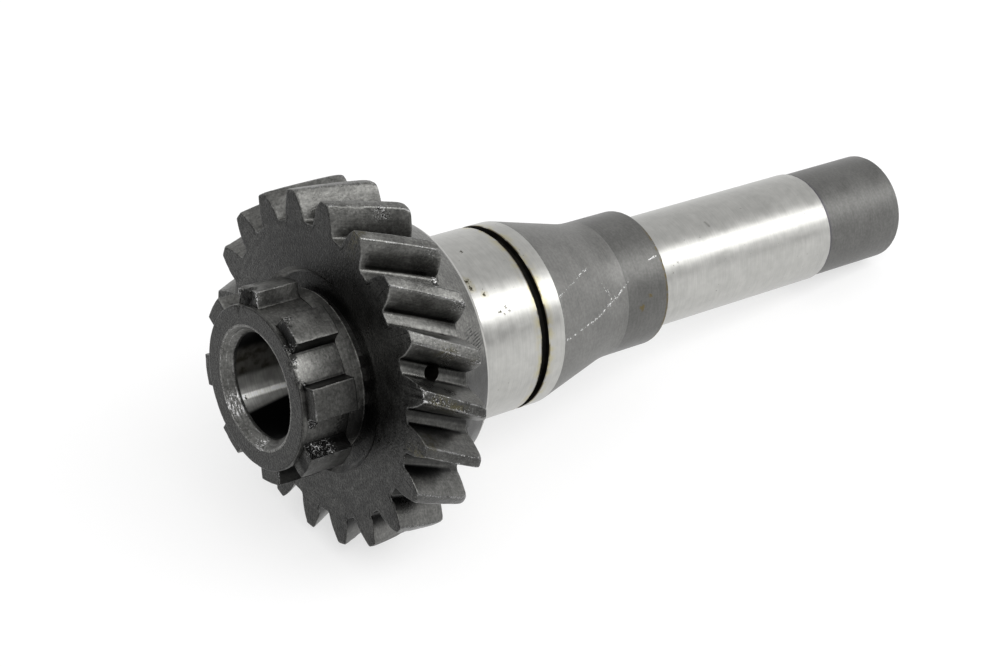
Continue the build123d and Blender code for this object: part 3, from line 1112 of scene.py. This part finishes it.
def matt_steel(name, tone, roughness, scratches=()):
    """Matt grey steel as turned and hardened, with a few bright scratches."""
    steel = Finish(name, metallic=0.68)
    smooth, spread, times, mix = steel.tools
    lines = steel.turning(2.4, 4.0)
    grain = steel.noise(1.8, 4.0)
    cloud = steel.noise(0.15, 4.0)
    level = times(spread(cloud, 0.88, 1.12), spread(lines, 0.93, 1.07), spread(grain, 0.9, 1.1), tone)
    colour = steel.scaled(BRIGHT_TINT, level)
    worn = smooth(steel.plus(steel.value("wear"), spread(grain, -0.5, 0.1)), 0.2, 0.6)
    colour = mix(colour, (times(worn, 0.35 if name == "collar" else 0.6), grey(0.3)))
    if name == "collar":
        at_rim = times(smooth(steel.axial, 95.2, 95.8), smooth(steel.side, 2.0, 8.0))
        stain = steel.math("MAXIMUM", at_rim, steel.specks(COLLAR_STAINS, COLLAR_RADIUS))
        stain = times(stain, smooth(steel.noise(0.8, 3.0), 0.35, 0.55), 0.85)
        colour = mix(colour, (stain, RUST))
    if name == "tail":
        start = smooth(steel.axial, JOURNAL_REAR + 1.2, JOURNAL_REAR + 0.2)
        colour = mix(colour, (times(start, 0.7), QUENCH_BLUE))
    fine = steel.noise(3.2, shift=12.0)
    wander = spread(steel.noise(1.0, 3.0), -0.3, 0.35)
    for scratch, width, wandering, lack in scratches:
        gap = steel.plus(steel.distance_to(scratch), times(wander, wandering))
        mark = smooth(steel.math("ABSOLUTE", gap), width, width * 0.3)
        colour = mix(colour, (times(mark, smooth(fine, lack - 0.03, lack + 0.05)), grey(0.8)))
    if scratches:
        pale = steel.specks(COLLAR_SPECKS, COLLAR_RADIUS + 0.6)
        colour = mix(colour, (times(pale, 0.6), grey(0.5)))
    steel.relief(steel.plus(times(lines, 0.12), grain), 0.012)
    return steel.finish(colour, spread(cloud, roughness - 0.04, roughness + 0.05))


def bore_steel():
    """The bored wall: its fine rings spread the light, with a painted highlight along it at one
    angle, and painted shade, near black, above and below.
    """
    steel = Finish("bore", anisotropy=1.0)
    smooth, spread, times, mix = steel.tools
    lines = steel.turning(3.0, 3.0)
    blotch = steel.noise(0.45, 4.0)
    # Painted highlight: a bright line along the wall at one angle
    highlight_streak = smooth(steel.towards(227.5), 0.9976, 1.0, 1.0, 3.0)
    level = times(spread(lines, 0.31, 0.39), spread(blotch, 0.8, 1.15), highlight_streak)
    colour = steel.scaled(BRIGHT_TINT, level)
    # Painted shade, brownish, over the upper wall
    upper_shade = times(smooth(steel.towards(292.0), 0.7, 0.78), smooth(blotch, 0.35, 0.65, 0.75, 1.0))
    # Painted shadow, near black, over the lower wall
    low_shadow = steel.plus(steel.towards(168.0), times(steel.axial, 0.009))
    colour = mix(
        colour,
        (upper_shade, BORE_SHADE),
        # The top of the wall painted near black as shade
        (smooth(steel.towards(318.0), 0.74, 0.88), grey(0.005)),
        (smooth(low_shadow, 0.74, 0.8), grey(0.004)),
        (steel.specks((BORE_SPECK,), BORE_RADIUS), grey(0.004)),
    )
    return steel.finish(colour, 0.42)


def groove_steel():
    """The unlit groove and oil hole, painted near black as the shade inside them."""
    steel = Finish("groove", metallic=0.0)
    steel.set("Specular IOR Level", 0.08)
    tone = steel.spread(steel.noise(0.5, 3.0), 0.003, 0.009)
    return steel.finish(steel.scaled(BLACK_TINT, tone), 0.55)


def make_shaft():
    finishes = {
        "bore": bore_steel(),
        "mouth": Finish.finish(*dark_steel("mouth", 0.13, 0.12, 0.8, 0.38)),
        "hub": Finish.finish(*dark_steel("hub", 0.13, 0.031, 0.22, 0.38)),
        "gear": Finish.finish(*dark_steel("gear", 0.12, 0.031, 0.22, 0.32, 0.07)),
        "cone": cone_steel(),
        "ground": ground_steel(),
        "groove": groove_steel(),
        "taper": matt_steel("taper", 0.178, 0.45, SCRATCHES),
        "collar": matt_steel("collar", 0.124, 0.4, SCRATCHES),
        "tail": matt_steel("tail", 0.128, 0.42),
    }
    shaft = add_piece("machined_shaft", shaft_mesh(finishes))
    drill_oil_hole(shaft, finishes)
    shaft.data.shade_smooth()
    shaft.data.set_sharp_from_angle(angle=radians(SHARP_ANGLE))
    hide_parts("transmission_shaft")
    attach(shaft, "root")


def make_floor():
    low = cad_low.z
    half = FLOOR_HALF
    corners = [(-half, -half, low), (half, -half, low), (half, half, low), (-half, half, low)]
    paper = Finish("floor", metallic=0.0)
    seen = paper.add("LightPath", output="Is Camera Ray")
    rays = seen.node.outputs
    for name in ("Is Glossy Ray", "Is Transmission Ray"):
        seen = paper.math("MAXIMUM", seen, rays[name])
    paper.set("Emission Strength", paper.times(seen, FLOOR_GLOW))
    paper.set("Emission Color", grey(1.0))
    paper.set("Specular IOR Level", 0.0)
    pale = {"floor": paper.finish(grey(FLOOR_TONE), 1.0)}
    floor = add_piece("floor", new_mesh("floor", corners, [(0, 1, 2, 3)], pale, ["floor"]))


def make_world():
    """A pale room, lighter low down behind the shaft and darker low down before it."""
    world = bpy.data.worlds.new("studio")
    bpy.context.scene.world = world
    world.use_nodes = True
    nodes = Nodes(world.node_tree)
    back = nodes.add("SeparateXYZ", (nodes.add("TexCoord", output="Generated"),), "Y")
    low_back = nodes.times(back, nodes.math("SUBTRACT", 1.0, back.node.outputs["Z"]))
    light = nodes.math("MULTIPLY_ADD", low_back, ROOM_SLOPE, ROOM_LIGHT)
    light = nodes.math("MULTIPLY_ADD", nodes.math("MINIMUM", low_back, 0.0), FRONT_SLOPE, light)
    background = world.node_tree.nodes["Background"]
    background.inputs["Color"].default_value = grey(1.0)
    nodes.put(light, background.inputs["Strength"])


def make_softbox(name, angle, size, radiance, shift):
    """A soft light beside the shaft and above it, in line with it."""
    data = bpy.data.lights.new(name, "AREA")
    data.shape = "RECTANGLE"
    data.size, data.size_y = size
    data.energy = radiance * pi * data.size * data.size_y
    softbox = add_piece(name, data)
    softbox.visible_camera = False
    away = outward(radians(angle))
    softbox.location = away + AXIS * shift
    softbox.rotation_euler = Matrix((AXIS, away.cross(AXIS), away)).transposed().to_euler()


def place_camera():
    tilt, turn, roll = (radians(angle) for angle in (VIEW_TILT, VIEW_TURN, VIEW_ROLL))
    axis = Vector((sin(tilt) * cos(turn), sin(tilt) * sin(turn), -cos(tilt)))
    upright = (Vector((0.0, 1.0, 0.0)) - axis * axis.y).normalized()
    up = upright * cos(roll) + axis.cross(upright) * sin(roll)
    rotation = Matrix((AXIS, UP, SIDE)).transposed() @ Matrix((axis, up, axis.cross(up)))
    data = bpy.data.cameras.new("camera")
    data.sensor_width = 36.0
    data.lens = FOCAL_LENGTH
    camera = add_piece("camera", data)
    camera.rotation_euler = rotation.to_euler()
    camera.location = HUB - rotation @ Vector(HUB_IN_VIEW) * MM
    bpy.context.scene.camera = camera


make_shaft()
make_floor()
make_world()
for softbox in SOFTBOXES:
    make_softbox(*softbox)
place_camera()
bpy.context.scene.view_settings.view_transform = "Standard"
